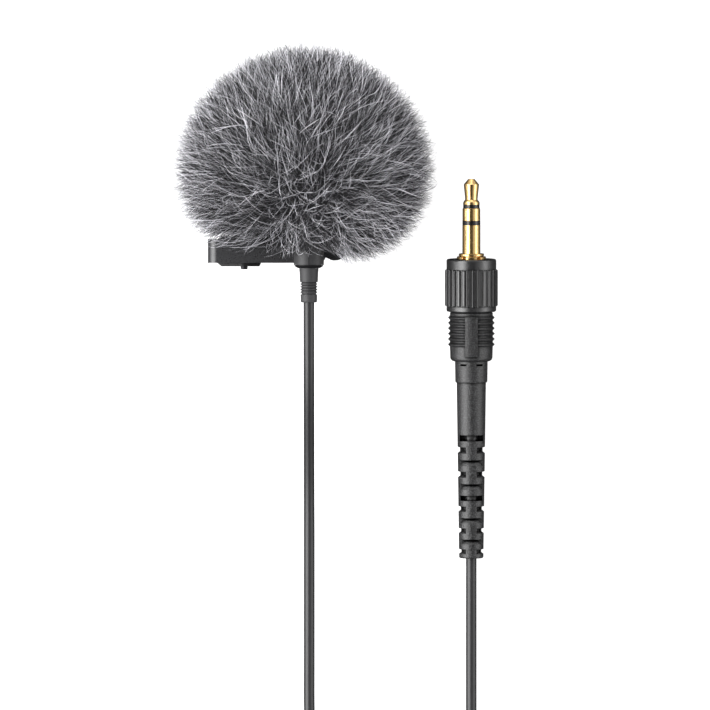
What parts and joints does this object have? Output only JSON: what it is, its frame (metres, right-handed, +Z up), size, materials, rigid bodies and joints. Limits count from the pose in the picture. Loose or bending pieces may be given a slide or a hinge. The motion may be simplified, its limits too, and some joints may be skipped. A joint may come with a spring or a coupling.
{
  "type": "lavalier microphone",
  "caption": "Clip-on lavalier microphone with a furry windscreen, a sprung clip on a mic holder ring, a thin cable and a locking 3.5 mm jack plug.",
  "frame": {"origin": "on the surface that the object lies on, under the middle of the microphone, windscreen and clip", "axes": "+Y along the microphone and the plug, from the cable towards the head and the tip; +Z up from the surface; +X from the microphone towards the plug"},
  "size_m": [0.0608, 0.165, 0.0449],
  "materials": {
    "fur": "matte",
    "fur_backing": "matte",
    "elastic": "matte",
    "foam": "matte",
    "mic_metal": "satin",
    "cloth": "matte",
    "capsule": "satin",
    "soft_rubber": "matte",
    "board": "satin",
    "chips": "matte",
    "copper": "satin",
    "wire_jacket": "satin",
    "steel": "satin",
    "clip_plastic": "satin",
    "dark_steel": "satin",
    "gold_plate": "polished",
    "black_insulator": "gloss",
    "collar_metal": "satin",
    "mould": "satin",
    "body_rubber": "matte",
    "cable_jacket": "satin",
    "hook_tape": "matte"
  },
  "bodies": {
    "microphone": {"mic_housing": "mic_metal", "mic_grille": "mic_metal", "acoustic_cloth": "cloth", "electret_capsule": "capsule", "capsule_gasket": "soft_rubber", "preamp_board": "board", "board_components": "chips", "capsule_leads": "copper", "mic_conductors": "wire_jacket", "cable_clamp": "steel", "tail_cap": "mic_metal", "mic_boot": "soft_rubber", "plug_tip": "gold_plate", "tip_insulator": "black_insulator", "plug_ring": "gold_plate", "ring_insulator": "black_insulator", "plug_sleeve": "gold_plate", "slotted_nut": "gold_plate", "collar_retaining_ring": "steel", "plug_inner_mould": "mould", "solder_lugs": "gold_plate", "plug_conductors": "wire_jacket", "cable_crimp": "steel", "plug_body": "body_rubber", "plug_strain_relief": "body_rubber", "cable_mic_run": "cable_jacket", "cable_coil": "cable_jacket", "cable_plug_run": "cable_jacket", "coil_tie": "hook_tape"},
    "windscreen": {"windscreen_fur": "fur", "windscreen_backing": "fur_backing", "windscreen_neck_band": "elastic", "foam_core": "foam"},
    "clip": {"mic_holder": "clip_plastic", "holder_rivet": "steel", "clip_front_plate": "clip_plastic", "torsion_spring": "steel"},
    "clip_jaw": {"clip_rear_jaw": "clip_plastic", "hinge_pin": "dark_steel", "torsion_spring_leg": "steel"},
    "lock_collar": {"lock_collar": "collar_metal"}
  },
  "joints": [
    {"name": "windscreen_pull", "type": "slide", "parent": "microphone", "child": "windscreen", "axis": [0, 1, 0], "range_m": [0, 0.03]},
    {"name": "clip_turn", "type": "hinge", "parent": "microphone", "child": "clip", "pos_m": [0, -0.01451, 0.0206], "axis": [0, 1, 0], "continuous": true},
    {"name": "jaw_open", "type": "hinge", "parent": "clip", "child": "clip_jaw", "pos_m": [-0.0125, -0.01451, 0.0146], "axis": [0, 1, 0], "range_deg": [0, 22], "stiffness_Nm_per_rad": 0.02, "springref_deg": -28.65},
    {"name": "collar_spin", "type": "hinge", "parent": "microphone", "child": "lock_collar", "pos_m": [0.0314, -0.02043, 0.00537], "axis": [0, 0.9984, 0.0564], "continuous": true}
  ]
}
